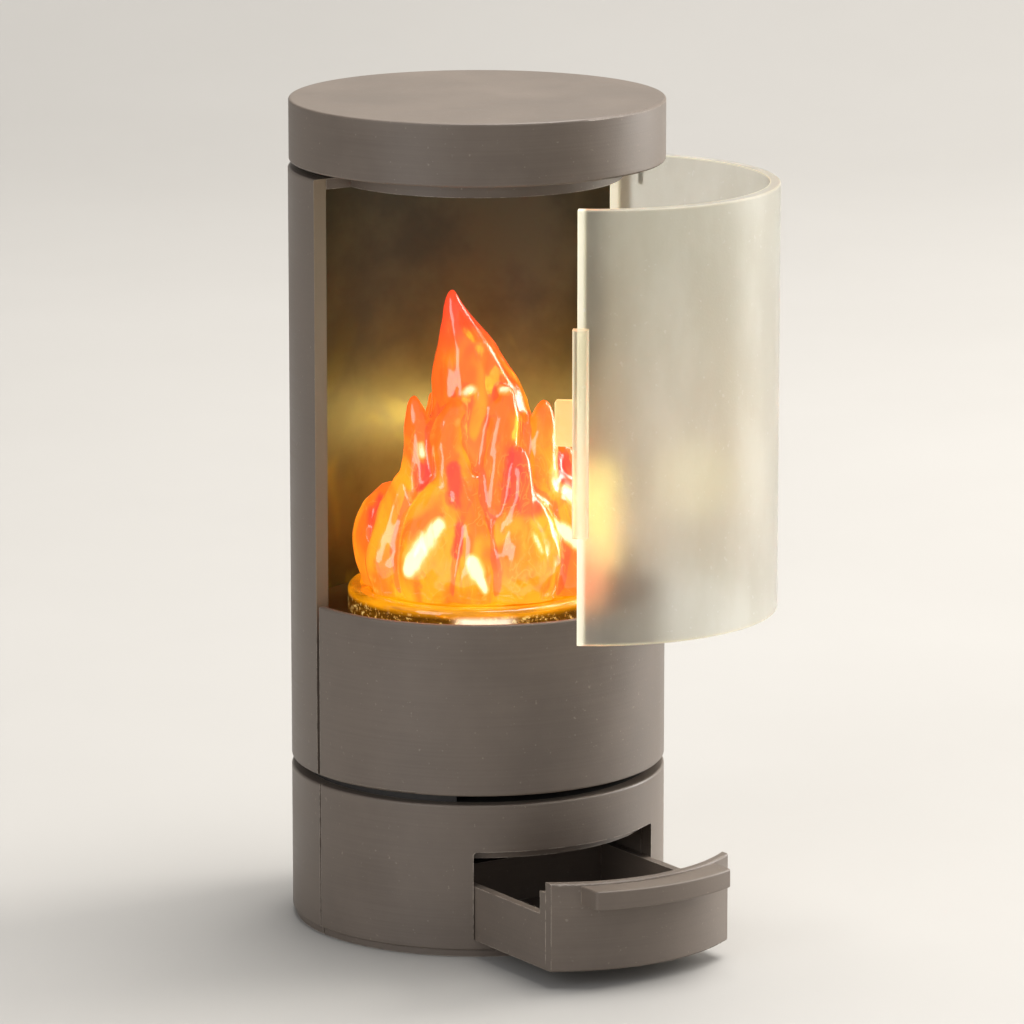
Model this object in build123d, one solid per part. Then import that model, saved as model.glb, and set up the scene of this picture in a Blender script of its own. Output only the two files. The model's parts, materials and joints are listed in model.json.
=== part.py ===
from build123d import *
import math
import os

# Miniature round stove with a swinging curved glass door, an ash drawer and a lit resin flame.
# Millimetres, +Z up, front towards -Y. The origin is the centre of the underside.
# The door and the drawer are built closed, then placed at their half-open rest pose.

# ---- overall ----
body_radius = 21.0
overall_height = 92.8
wall = 1.55
mating_gap = 0.05
edge_round = 0.25

# ---- levels from the ground up ----
plinth_height = 0.8
plinth_inset = 0.4
base_height = 17.3
neck_height = 1.0
front_panel_height = 19.25
cap_height = 6.9
cap_inset = 0.1
cap_shadow_gap = 0.7
cap_wall = 1.5
cap_rim_width = 4.4

# ---- plates ----
base_plate_thickness = 1.85
plate_thickness = 1.5
floor_thickness = 1.2
floor_below_rim = 2.6
rim_lip = 0.6
plug_swing_gap = 0.2
plug_depth = 1.9

# ---- seams between front and back shells ----
body_seam_front = 0.1
body_seam_back = 0.45
base_seam_gap = 0.2

# ---- neck between base and body ----
neck_inset = 1.6
neck_width = 2.9
neck_front_cut_deg = 40.0

# ---- ash drawer ----
drawer_width = 23.36
drawer_front_height = 9.85
drawer_skin = 0.9
drawer_inner_drop = 1.2
drawer_side_height = 6.1
drawer_wall = 1.0
drawer_depth = 27.0
drawer_side_clearance = 0.17
drawer_running_gap = 0.1
drawer_open = 15.0
housing_wall = 1.0
housing_lip_drop = 1.05
housing_back_room = 2.5
housing_roof_rise = 0.2
housing_rib_half = 0.5
opening_corner = 0.4
pull_height = 2.1
pull_reach = 2.8
pull_half_deg = 25.0
pull_below_top = 0.25
pull_corner = 0.45

# ---- glass door ----
glass_thickness = 1.2
glass_to_shell = 0.5
door_gap = 0.25
door_top_gap = 0.7
door_hinge_side_gap = 0.1
door_latch_side_gap = 0.35
hinge_setback = 3.5
door_open_deg = 50.5
pin_radius = 0.3
pin_running_gap = 0.05
pin_in_glass = 3.4
pin_in_cap = 2.0
handle_width = 1.7
handle_depth = 1.3
handle_height = 22.7
handle_drop = 0.35
handle_overhang = 0.45
handle_round = 0.35
latch_height = 5.0
latch_reach = 2.6
latch_thickness = 0.8
latch_inset = 0.8

# ---- flame and its light ----
disc_radius = 14.6
disc_height = 2.9
disc_round = 0.7
disc_groove_outer = 13.2
disc_groove_inner = 12.3
disc_groove_depth = 0.35
flame_headroom = 12.8
flame_inset = 1.2
led_radius = 2.5
led_flange_radius = 2.9
led_flange_height = 1.0
led_height = 4.6
led_leg_radius = 0.25
led_leg_spacing = 2.54
led_clearance = 0.2
board_radius = 9.0
board_thickness = 1.0
board_standoff = 1.3
board_screw_offset = 6.5
standoff_radius = 1.5

# ---- battery, contacts and switch ----
cell_radius = 10.0
cell_height = 3.2
cell_step = 0.5
cell_clearance = 0.3
cell_floor = 1.5
cell_set_forward = 2.1
holder_wall = 1.4
holder_side_wall = 1.7
holder_roof = 1.1
contact_width = 4.0
contact_thickness = 0.3
positive_contact_y = 4.0
negative_contact_y = -6.0
contact_grip = 4.0
hatch_width = 22.6
hatch_height = 7.8
hatch_above_bottom = 2.2
hatch_gap = 0.12
hatch_screw_drop = 1.4
switch_width = 8.4
switch_depth = 4.0
switch_height = 3.6
switch_above_hatch = 0.7
knob_width = 2.0
knob_height = 1.8
knob_travel = 2.0
knob_reach = 0.9
knob_gap = 0.1

# ---- screws ----
screw_radius = 0.8
screw_head_radius = 1.6
screw_head_height = 0.9
screw_slot_width = 0.35
screw_slot_depth = 0.45
screw_hole_gap = 0.05
cover_screw_length = 3.9
cover_screw_sink = 0.1
case_screw_length = 8.0
cap_screw_length = 5.0
board_screw_length = 2.9
screw_tip_room = 0.4
post_radius = 1.9
post_wall_gap = 0.3
body_post_deg = 35.0
base_post_deg = 12.0

# ---- derived sizes ----
shell_inner = body_radius - wall
fit_radius = shell_inner - mating_gap
body_bottom_z = base_height + neck_height
panel_top = body_bottom_z + front_panel_height
floor_top = panel_top - floor_below_rim
floor_bottom = floor_top - floor_thickness
cap_bottom = overall_height - cap_height
shell_top = cap_bottom - cap_shadow_gap
plug_bottom = cap_bottom - plug_depth
door_bottom = panel_top + door_gap
door_top = cap_bottom - door_top_gap
glass_outer = body_radius - glass_to_shell
glass_inner = glass_outer - glass_thickness
pivot_radius = (glass_outer + glass_inner) / 2
hinge_corner_reach = math.hypot(hinge_setback, glass_thickness / 2)
plug_radius = pivot_radius - hinge_corner_reach - plug_swing_gap
pivot_deg = -math.degrees((door_hinge_side_gap + hinge_setback) / pivot_radius)
pivot_x = pivot_radius * math.cos(math.radians(pivot_deg))
pivot_y = pivot_radius * math.sin(math.radians(pivot_deg))
drawer_bottom = base_plate_thickness + drawer_running_gap
drawer_top = drawer_bottom + drawer_front_height
opening_top = drawer_top + drawer_side_clearance
opening_half = drawer_width / 2 + drawer_side_clearance
housing_ceiling = opening_top - housing_lip_drop
housing_half = opening_half + housing_wall
drawer_inner_radius = body_radius - 2 * drawer_skin
drawer_back_y = drawer_depth - body_radius + drawer_skin
housing_back_y = drawer_back_y + housing_back_room
post_ring = shell_inner - post_radius - post_wall_gap
post_x = post_ring * math.cos(math.radians(body_post_deg))
post_y = post_ring * math.sin(math.radians(body_post_deg))
base_post_x = post_ring * math.cos(math.radians(base_post_deg))
base_post_y = post_ring * math.sin(math.radians(base_post_deg))
disc_top = floor_top + disc_height
flame_top = plug_bottom - flame_headroom
chamber_bottom = body_bottom_z + plate_thickness
board_top = floor_bottom - board_standoff
board_bottom = board_top - board_thickness
cell_y = fit_radius - cell_radius - cell_set_forward
cell_bottom = chamber_bottom + cell_floor
cell_top = cell_bottom + cell_height
holder_half = cell_radius + cell_clearance + holder_side_wall
holder_front_y = cell_y - cell_radius - cell_clearance - holder_wall
holder_top = cell_top + cell_clearance + holder_roof
hatch_bottom = body_bottom_z + hatch_above_bottom
hatch_top = hatch_bottom + hatch_height
hatch_screw_z = hatch_top - hatch_screw_drop
switch_bottom = hatch_top + switch_above_hatch
knob_z = switch_bottom + switch_height / 2
plug_screw_x = plug_radius * 0.62
plug_screw_y = plug_radius * 0.28
FROM_FOOT = (Align.CENTER, Align.CENTER, Align.MIN)
FAR = 2 * (overall_height + 2 * body_radius)


def block(x0, x1, y0, y1, z0, z1):
    """A box given by its lowest and highest corners."""
    centre = Pos((x0 + x1) / 2, (y0 + y1) / 2, (z0 + z1) / 2)
    return centre * Box(x1 - x0, y1 - y0, z1 - z0)


def rod(x, y, radius, z0, z1):
    """An upright round rod."""
    return Pos(x, y, (z0 + z1) / 2) * Cylinder(radius, z1 - z0)


def tube(r_in, r_out, z0, z1):
    """An upright tube about the stove's own axis."""
    return rod(0, 0, r_out, z0, z1) - rod(0, 0, r_in, z0, z1)


def front_half(shape, gap):
    """Keep what lies in front of the seam."""
    return shape & block(-FAR, FAR, -FAR, -gap, -FAR, FAR)


def back_half(shape, gap=0.0):
    """Keep what lies behind the seam."""
    return shape & block(-FAR, FAR, gap, FAR, -FAR, FAR)


def round_outer_rims(shape, radius, z_levels):
    """Round the outer circular edges at the given levels."""
    picked = []
    for edge in shape.edges().filter_by(GeomType.CIRCLE):
        at_level = any(abs(edge.center().Z - z) < 0.01 for z in z_levels)
        if at_level and abs(edge.radius - body_radius) < 0.01:
            picked.append(edge)
    return fillet(picked, radius)


def screw(length):
    """A countersunk screw with a cross slot, head at z 0 and pointing up."""
    head = Pos(0, 0, screw_head_height / 2)
    body = head * Cone(screw_head_radius, screw_radius, screw_head_height)
    body += rod(0, 0, screw_radius, screw_head_height, length)
    half = screw_head_radius * 0.7
    slot = screw_slot_width / 2
    body -= block(-half, half, -slot, slot, 0, screw_slot_depth)
    body -= block(-slot, slot, -half, half, 0, screw_slot_depth)
    return body


def screw_hole(length):
    """The countersunk hole that such a screw sits in."""
    gap = screw_hole_gap
    head = Pos(0, 0, screw_head_height / 2)
    hole = head * Cone(screw_head_radius + gap, screw_radius + gap, screw_head_height)
    return hole + rod(0, 0, screw_radius + gap, screw_head_height, length + screw_tip_room)


def four(x, y):
    """Four places, mirrored left to right and front to back."""
    return [(x, y), (-x, y), (x, -y), (-x, -y)]


def opened_door(shape):
    """Swing a closed door piece to the rest pose."""
    return Pos(pivot_x, pivot_y) * Rot(0, 0, door_open_deg) * Pos(-pivot_x, -pivot_y) * shape


def opened_drawer(shape):
    """Slide a closed drawer piece to the rest pose."""
    return Pos(0, -drawer_open, 0) * shape


# ---- base ----
def base_plate():
    plate = rod(0, 0, fit_radius, 0, base_plate_thickness)
    for x, y in four(base_post_x, base_post_y):
        plate -= Pos(x, y, 0) * screw_hole(base_plate_thickness)
    return plate


def base_ring():
    ring = tube(shell_inner, body_radius, plinth_height, base_height)
    plinth = tube(shell_inner, body_radius - plinth_inset, 0, plinth_height)
    return ring + plinth


def drawer_opening():
    cut = block(-opening_half, opening_half, -FAR, -body_radius / 2, base_plate_thickness, opening_top)
    return fillet(cut.edges().filter_by(Axis.Y), opening_corner)


def base_front_shell():
    shell = front_half(base_ring(), base_seam_gap)
    shell = round_outer_rims(shell, edge_round, [plinth_height, base_height])
    return shell - drawer_opening()


def base_back_shell():
    return round_outer_rims(back_half(base_ring()), edge_round, [plinth_height, base_height])


def base_top_plate():
    plate = rod(0, 0, fit_radius, base_height - plate_thickness, base_height)
    for x, y in four(base_post_x, base_post_y):
        post = rod(x, y, post_radius, base_plate_thickness, base_height - plate_thickness)
        clear_half = housing_half + mating_gap
        plate += post - block(-clear_half, clear_half, -FAR, housing_back_y + mating_gap, 0, base_height)
        plate -= Pos(x, y, 0) * screw_hole(case_screw_length)
    for x, y in four(post_x, post_y):
        plate -= Pos(x, y, base_height - plate_thickness) * screw_hole(plate_thickness)
    return plate


def base_screws():
    return [Pos(x, y, 0) * screw(case_screw_length) for x, y in four(base_post_x, base_post_y)]


def drawer_housing():
    back_y = housing_back_y
    ceiling_top = opening_top + housing_roof_rise
    shape = block(-housing_half, housing_half, -FAR, back_y, base_plate_thickness, ceiling_top)
    inner_back = back_y - housing_wall
    shape -= block(-opening_half, opening_half, -FAR, inner_back, 0, housing_ceiling)
    rib_x = opening_half * 0.7
    for side in (-rib_x, rib_x):
        low_x = side - housing_rib_half
        high_x = side + housing_rib_half
        rib_top = base_height - plate_thickness
        shape += block(low_x, high_x, -body_radius * 0.6, back_y, ceiling_top, rib_top)
    return shape & rod(0, 0, fit_radius, 0, overall_height)


# ---- ash drawer, built closed ----
def drawer_box():
    half = drawer_width / 2
    low = drawer_bottom
    skin_radius = body_radius - drawer_skin
    tray = block(-half, half, -body_radius, drawer_back_y, low, low + drawer_side_height)
    tray &= rod(0, 0, skin_radius, low, low + drawer_side_height)
    inside = rod(0, 0, drawer_inner_radius, low + drawer_wall, overall_height)
    back = drawer_back_y - drawer_wall
    side = half - drawer_wall
    inside &= block(-side, side, -FAR, back, 0, overall_height)
    tray -= inside
    front = tube(drawer_inner_radius, skin_radius, low, drawer_top - drawer_inner_drop)
    front &= block(-half, half, -FAR, -body_radius / 2, 0, overall_height)
    return opened_drawer(tray + front)


def drawer_front():
    skin = tube(body_radius - drawer_skin, body_radius, drawer_bottom, drawer_top)
    half = drawer_width / 2
    skin &= block(-half, half, -FAR, -body_radius / 2, 0, overall_height)
    outer = [e for e in skin.edges().filter_by(GeomType.CIRCLE) if e.radius > body_radius - 0.01]
    return opened_drawer(fillet(outer, 0.2))


def drawer_handle():
    reach = body_radius + pull_reach
    top = drawer_top - pull_below_top
    bar = tube(body_radius, reach, top - pull_height, top)
    half = reach * math.sin(math.radians(pull_half_deg)) * 0.88
    bar &= block(-half, half, -FAR, -body_radius / 2, 0, overall_height)
    bar = fillet(bar.edges().filter_by(Axis.Z).sort_by(Axis.Y)[0:2], pull_corner)
    faces = bar.faces().sort_by(Axis.Z)
    rims = []
    for face in (faces[0], faces[-1]):
        for edge in face.edges():
            if edge.center().Y < -body_radius * 0.97 or edge.geom_type == GeomType.LINE:
                rims.append(edge)
    rims = [e for e in rims if not (e.geom_type == GeomType.CIRCLE and abs(e.radius - body_radius) < 0.01)]
    return opened_drawer(fillet(rims, 0.2))


# ---- neck ----
def neck_ring():
    outer = body_radius - neck_inset
    ring = tube(outer - neck_width, outer, base_height, body_bottom_z)
    edge_x = outer * math.sin(math.radians(neck_front_cut_deg))
    ring -= block(-edge_x, edge_x, -FAR, 0, 0, overall_height)
    for x, y in four(post_x, post_y):
        ring -= rod(x, y, screw_radius + screw_hole_gap, base_height, body_bottom_z)
    return ring


def neck_screws():
    low = base_height - plate_thickness
    return [Pos(x, y, low) * screw(case_screw_length) for x, y in four(post_x, post_y)]


# ---- body ----
def body_bottom():
    plate = rod(0, 0, fit_radius, body_bottom_z, chamber_bottom)
    for x, y in four(post_x, post_y):
        plate += rod(x, y, post_radius, chamber_bottom, floor_bottom)
        plate -= Pos(x, y, base_height - plate_thickness) * screw_hole(case_screw_length)
    return plate


def hatch_cut(clearance):
    half = hatch_width / 2 + clearance
    return block(-half, half, 0, FAR, hatch_bottom - clearance, hatch_top + clearance)


def back_shell():
    shell = back_half(tube(shell_inner, body_radius, body_bottom_z, shell_top), body_seam_back)
    shell = round_outer_rims(shell, edge_round, [body_bottom_z, shell_top])
    shell -= hatch_cut(hatch_gap)
    half = knob_width / 2 + knob_travel / 2 + knob_gap
    tall = knob_height / 2 + knob_gap
    return shell - block(-half, half, 0, FAR, knob_z - tall, knob_z + tall)


def front_panel():
    panel = front_half(tube(shell_inner, body_radius, body_bottom_z, panel_top), body_seam_front)
    panel = round_outer_rims(panel, edge_round, [body_bottom_z, panel_top])
    return panel - rod(0, 0, body_radius - rim_lip, floor_bottom, panel_top)


def firebox_floor():
    plate = rod(0, 0, fit_radius, floor_bottom, floor_top)
    rebate = rod(0, 0, body_radius - rim_lip - mating_gap, floor_bottom, floor_top)
    plate += front_half(rebate, body_seam_front + mating_gap)
    plate -= rod(0, 0, led_flange_radius + led_clearance, floor_bottom, floor_top)
    plate -= rod(pivot_x, pivot_y, pin_radius + pin_running_gap, floor_bottom, floor_top)
    for side in (-board_screw_offset, board_screw_offset):
        plate += rod(side, 0, standoff_radius, board_top, floor_bottom)
        plate -= rod(side, 0, screw_radius + screw_hole_gap, board_top, floor_bottom + 0.5)
    return plate


def top_plate():
    plate = rod(0, 0, plug_radius, plug_bottom, cap_bottom)
    plate += back_half(rod(0, 0, fit_radius, plug_bottom, shell_top), body_seam_back)
    for side in (-plug_screw_x, plug_screw_x):
        plate -= Pos(side, plug_screw_y, plug_bottom) * screw_hole(plug_depth)
    return plate


def top_cap():
    radius = body_radius - cap_inset
    cap = rod(0, 0, radius, cap_bottom, overall_height)
    cap = fillet(cap.edges().filter_by(GeomType.CIRCLE), edge_round)
    cavity = rod(0, 0, radius - cap_rim_width, cap_bottom, overall_height - cap_wall)
    for side in (-plug_screw_x, plug_screw_x):
        cavity -= rod(side, plug_screw_y, post_radius, cap_bottom, overall_height - cap_wall)
    cap -= cavity
    screw_hole_top = cap_bottom + cap_screw_length - plug_depth + 2 * screw_tip_room
    for side in (-plug_screw_x, plug_screw_x):
        cap -= rod(side, plug_screw_y, screw_radius + screw_hole_gap, cap_bottom, screw_hole_top)
    pin_hole = pin_in_cap + 0.3
    return cap - rod(pivot_x, pivot_y, pin_radius + pin_running_gap, cap_bottom, cap_bottom + pin_hole)


def cap_screws():
    places = [(-plug_screw_x, plug_screw_y), (plug_screw_x, plug_screw_y)]
    return [Pos(x, y, plug_bottom) * screw(cap_screw_length) for x, y in places]


# ---- glass door, built closed ----
def hinge_pin_at(z0, z1):
    return rod(pivot_x, pivot_y, pin_radius, z0, z1)


def lower_pin_span():
    return floor_bottom + 0.2, door_bottom + pin_in_glass


def upper_pin_span():
    return door_top - pin_in_glass, cap_bottom + pin_in_cap


def door_glass():
    glass = tube(glass_inner, glass_outer, door_bottom, door_top)
    glass &= block(-FAR, 0, -FAR, -door_latch_side_gap, 0, FAR) + block(
        0, FAR, -FAR, -door_hinge_side_gap, 0, FAR)
    edges = [e for e in glass.edges().filter_by(GeomType.CIRCLE) if e.radius > glass_outer - 0.01]
    glass = fillet(edges, 0.2)
    glass -= hinge_pin_at(*lower_pin_span())
    glass -= hinge_pin_at(*upper_pin_span())
    return opened_door(glass)


def door_handle():
    middle = (door_bottom + door_top) / 2
    near = handle_overhang - door_latch_side_gap
    far = near - handle_width
    low = middle - handle_drop - handle_height / 2
    bar = tube(glass_outer, glass_outer + handle_depth, low, low + handle_height)
    bar &= block(-FAR, 0, far, near, 0, overall_height)
    corners = [e for e in bar.edges() if e.center().X < -glass_outer - handle_depth * 0.9]
    bar = fillet(corners, handle_round)
    tongue_z = (middle + latch_height * 0.06) - latch_height / 2
    outer = -glass_outer - handle_depth * 0.5
    edge = -door_latch_side_gap
    web = block(outer, -glass_inner + latch_inset, edge, near, tongue_z, tongue_z + latch_height)
    in_x = -glass_inner - (glass_thickness - latch_thickness) / 2 + latch_inset
    tip = edge + latch_reach
    tongue = block(in_x, in_x + latch_thickness, edge, tip, tongue_z, tongue_z + latch_height)
    tongue = fillet(tongue.edges().filter_by(Axis.X).sort_by(Axis.Y)[2:4], 0.3)
    return opened_door(bar + web + tongue)


def upper_hinge_pin():
    return opened_door(hinge_pin_at(*upper_pin_span()))


def lower_hinge_pin():
    return opened_door(hinge_pin_at(*lower_pin_span()))


# ---- flame and light ----
def flame_disc():
    disc = rod(0, 0, disc_radius, floor_top, disc_top)
    disc = fillet(disc.edges().filter_by(GeomType.CIRCLE).sort_by(Axis.Z)[-1], disc_round)
    disc -= tube(disc_groove_inner, disc_groove_outer, disc_top - disc_groove_depth, disc_top)
    room = led_radius + led_clearance
    return disc - rod(0, 0, room, floor_top, board_top + led_height + led_clearance)


def flame():
    """A bell-shaped foot with tapering tongues and side lumps, joined into one casting."""
    span = flame_top - disc_top
    reach = disc_radius - flame_inset
    with BuildPart() as casting:
        with BuildSketch(Plane.XZ):
            with BuildLine():
                side = Spline(
                    (reach * 0.90, disc_top),
                    (reach, disc_top + span * 0.15),
                    (reach * 0.66, disc_top + span * 0.45),
                    (reach * 0.30, disc_top + span * 0.66),
                    (0, disc_top + span * 0.76),
                    tangents=[(0.3, 1), (-1, 0.15)],
                )
                Polyline(side @ 1, (0, disc_top), side @ 0)
            make_face()
        revolve(axis=Axis.Z)
    body = casting.part
    # x, y, foot radius and height, as shares of the foot's reach and the flame's span
    tongues = [
        (-0.18, 0.12, 0.50, 1.00),
        (-0.42, 0.27, 0.40, 0.66),
        (0.40, -0.26, 0.38, 0.66),
        (0.22, -0.42, 0.36, 0.50),
        (0.10, 0.40, 0.42, 0.74),
    ]
    for x, y, radius, height in tongues:
        cone = Cone(reach * radius, reach * 0.05, span * height, align=FROM_FOOT)
        body += Pos(reach * x, reach * y, disc_top) * cone
    for x, y in ((-0.62, 0.40), (0.60, -0.38), (-0.34, -0.62), (0.34, 0.62)):
        body += Pos(reach * x, reach * y, disc_top + reach * 0.42) * Sphere(reach * 0.30)
    return body


def led():
    body = rod(0, 0, led_radius, board_top, board_top + led_height - led_radius)
    body += Pos(0, 0, board_top + led_height - led_radius) * Sphere(led_radius)
    body &= rod(0, 0, led_radius, board_top, FAR)
    body += rod(0, 0, led_flange_radius, board_top, board_top + led_flange_height)
    for side in (-led_leg_spacing / 2, led_leg_spacing / 2):
        body += rod(side, 0, led_leg_radius, board_bottom - 0.6, board_top)
    return body


def led_board():
    board = rod(0, 0, board_radius, board_bottom, board_top)
    for side in (-led_leg_spacing / 2, led_leg_spacing / 2):
        board -= rod(side, 0, led_leg_radius + mating_gap, board_bottom, board_top)
    for side in (-board_screw_offset, board_screw_offset):
        board -= rod(side, 0, screw_radius + screw_hole_gap, board_bottom, board_top)
    return board


def board_screws():
    low = board_bottom - screw_head_height
    sides = (-board_screw_offset, board_screw_offset)
    return [Pos(side, 0, low) * screw(board_screw_length) for side in sides]


# ---- battery, contacts and switch ----
def coin_cell():
    can = rod(0, cell_y, cell_radius, cell_bottom + cell_step, cell_top)
    return can + rod(0, cell_y, cell_radius * 0.85, cell_bottom, cell_bottom + cell_step)


def battery_holder():
    half = holder_half
    shape = block(-half, half, holder_front_y, FAR, chamber_bottom, holder_top)
    room = cell_radius + cell_clearance
    pocket_top = cell_top + cell_clearance
    shape -= rod(0, cell_y, room, cell_bottom, pocket_top)
    shape -= block(-room, room, cell_y, FAR, cell_bottom, pocket_top)
    strip = contact_width / 2 + 0.2
    grip_end = cell_y + contact_grip + 0.2
    shape -= block(-strip, strip, holder_front_y - 1, grip_end, cell_bottom - 0.5, cell_bottom)
    shape -= block(-strip, strip, holder_front_y - 1, holder_front_y + holder_wall, 0, cell_bottom)
    shape -= block(-strip, strip, positive_contact_y - 0.2, grip_end, pocket_top - 1, holder_top)
    boss_y = fit_radius - 4.6
    shape += block(-3, 3, boss_y, FAR, holder_top, hatch_top + 0.3)
    shape &= rod(0, 0, fit_radius - 0.15, 0, overall_height)
    for x, y in four(post_x, post_y):
        shape -= rod(x, y, post_radius + mating_gap, chamber_bottom, overall_height)
    pilot = Pos(0, FAR, hatch_screw_z) * Rot(90, 0, 0) * rod(0, 0, screw_radius + screw_hole_gap, 0, FAR)
    return shape - (pilot & block(-2, 2, boss_y + 0.8, FAR, 0, FAR))


def positive_contact():
    half = contact_width / 2
    low = cell_top
    start = positive_contact_y
    strip = block(-half, half, start, cell_y + contact_grip, low, low + contact_thickness)
    return strip + block(-half, half, start, start + contact_thickness, low, board_bottom)


def negative_contact():
    half = contact_width / 2
    low = cell_bottom - contact_thickness
    start = negative_contact_y
    strip = block(-half, half, start, cell_y + contact_grip, low, cell_bottom)
    return strip + block(-half, half, start, start + contact_thickness, low, board_bottom)


def battery_cover():
    cover = back_half(tube(shell_inner, body_radius, hatch_bottom, hatch_top))
    half = hatch_width / 2
    cover &= block(-half, half, 0, FAR, 0, overall_height)
    hole = screw_hole(cover_screw_length) + rod(0, 0, screw_head_radius + screw_hole_gap, -wall, 0)
    return cover - Pos(0, body_radius - cover_screw_sink, hatch_screw_z) * Rot(90, 0, 0) * hole


def cover_screw():
    place = Pos(0, body_radius - cover_screw_sink, hatch_screw_z)
    return place * Rot(90, 0, 0) * screw(cover_screw_length)


def switch_body():
    half = switch_width / 2
    back = math.sqrt((fit_radius - 0.05) ** 2 - half ** 2)
    body = block(-half, half, back - switch_depth, back, switch_bottom, switch_bottom + switch_height)
    reach = knob_width / 2 + knob_travel / 2 + knob_gap
    tall = knob_height / 2 + knob_gap
    return body - block(-reach, reach, back - 1.2, FAR, knob_z - tall, knob_z + tall)


def switch_knob():
    back = math.sqrt((fit_radius - 0.05) ** 2 - (switch_width / 2) ** 2)
    middle = knob_travel / 2
    half = knob_width / 2
    tall = knob_height / 2
    low = back - 1.2 + knob_gap
    knob = block(middle - half, middle + half, low, body_radius + knob_reach, knob_z - tall, knob_z + tall)
    return fillet(knob.faces().sort_by(Axis.Y)[-1].edges(), 0.25)


PIECES = [
    base_plate, base_front_shell, base_back_shell, base_top_plate, base_screws,
    drawer_housing, drawer_box, drawer_front, drawer_handle,
    neck_ring, neck_screws, body_bottom, back_shell, front_panel, firebox_floor,
    top_plate, top_cap, cap_screws,
    door_glass, door_handle, upper_hinge_pin, lower_hinge_pin,
    flame_disc, flame, led, led_board, board_screws,
    coin_cell, battery_holder, positive_contact, negative_contact,
    battery_cover, cover_screw, switch_body, switch_knob,
]


def main():
    os.makedirs("parts", exist_ok=True)
    for make in PIECES:
        shape = make()
        if isinstance(shape, list):
            shape = Compound(children=shape)
        export_step(shape, f"parts/{make.__name__}.step")
    print("pivot", round(pivot_x, 3), round(pivot_y, 3))


main()
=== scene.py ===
import bmesh
import bpy
import json
import math
import numpy as np
from mathutils import Matrix, Vector, noise


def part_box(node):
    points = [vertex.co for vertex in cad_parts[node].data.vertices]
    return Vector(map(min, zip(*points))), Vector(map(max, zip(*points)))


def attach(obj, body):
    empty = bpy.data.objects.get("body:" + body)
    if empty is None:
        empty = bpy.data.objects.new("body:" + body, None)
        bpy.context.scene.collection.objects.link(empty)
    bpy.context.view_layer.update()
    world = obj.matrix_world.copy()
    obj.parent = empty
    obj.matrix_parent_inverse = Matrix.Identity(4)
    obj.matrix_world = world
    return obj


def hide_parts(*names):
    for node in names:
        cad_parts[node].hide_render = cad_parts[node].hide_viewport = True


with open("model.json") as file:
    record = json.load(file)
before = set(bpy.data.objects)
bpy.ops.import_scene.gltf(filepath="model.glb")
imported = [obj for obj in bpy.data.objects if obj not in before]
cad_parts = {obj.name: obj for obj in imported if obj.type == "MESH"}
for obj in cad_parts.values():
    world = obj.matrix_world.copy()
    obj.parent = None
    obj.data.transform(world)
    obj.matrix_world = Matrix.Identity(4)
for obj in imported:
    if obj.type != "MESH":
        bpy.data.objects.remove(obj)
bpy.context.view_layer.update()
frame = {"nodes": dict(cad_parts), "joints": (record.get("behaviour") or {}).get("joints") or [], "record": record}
MM = 0.001

# ---------------------------------------------------------------- places, read from the frame
nodes = frame["nodes"]
shell_low, shell_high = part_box("back_shell")
disc_low, disc_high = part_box("flame_disc")
flame_low, flame_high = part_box("flame")
floor_top = disc_low.z
BODY_RADIUS = shell_high.x
SHELL_WALL = 1.55 * MM
DISC_RADIUS = disc_high.x

door_joint = [j for j in frame["joints"] if j["name"] == "door_swing"][0]
HINGE = Vector(door_joint["pos_m"])
DOOR_OPEN = math.radians(-door_joint["range_deg"][0])
DOOR_LATCH_GAP = 0.35 * MM
CLOSED_FREE_EDGE = Vector((-Vector((HINGE.x, HINGE.y)).length, -DOOR_LATCH_GAP, 0))
HINGE_FOOT = Vector((HINGE.x, HINGE.y, 0))
FREE_EDGE = HINGE_FOOT + Matrix.Rotation(DOOR_OPEN, 3, "Z") @ (CLOSED_FREE_EDGE - HINGE_FOOT)

# ---------------------------------------------------------------- camera
VIEW_AZIMUTH = -33.0
VIEW_PITCH = 12.0
CAMERA_DISTANCE = 0.6986
CAMERA_HEIGHT = 0.1943
CAMERA_LENS = 224.06
AIM_RIGHT = 0.315


def make_camera():
    """The view of the stove from the left of its front, a little above."""
    data = bpy.data.cameras.new("camera")
    data.lens = CAMERA_LENS
    data.sensor_width = 36.0
    camera = bpy.data.objects.new("camera", data)
    bpy.context.scene.collection.objects.link(camera)
    turn = math.radians(VIEW_AZIMUTH)
    camera.location = (math.sin(turn) * CAMERA_DISTANCE, -math.cos(turn) * CAMERA_DISTANCE, CAMERA_HEIGHT)
    camera.rotation_euler = (math.radians(90 - VIEW_PITCH), 0, math.radians(VIEW_AZIMUTH - AIM_RIGHT))
    bpy.context.scene.camera = camera


def seen_from_front(across, towards, up):
    """A point given across the view, towards the viewer and up, in millimetres."""
    turn = math.radians(VIEW_AZIMUTH)
    right = Vector((math.cos(turn), math.sin(turn), 0))
    front = Vector((math.sin(turn), -math.cos(turn), 0))
    return (right * across + front * towards + Vector((0, 0, up))) * MM


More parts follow.
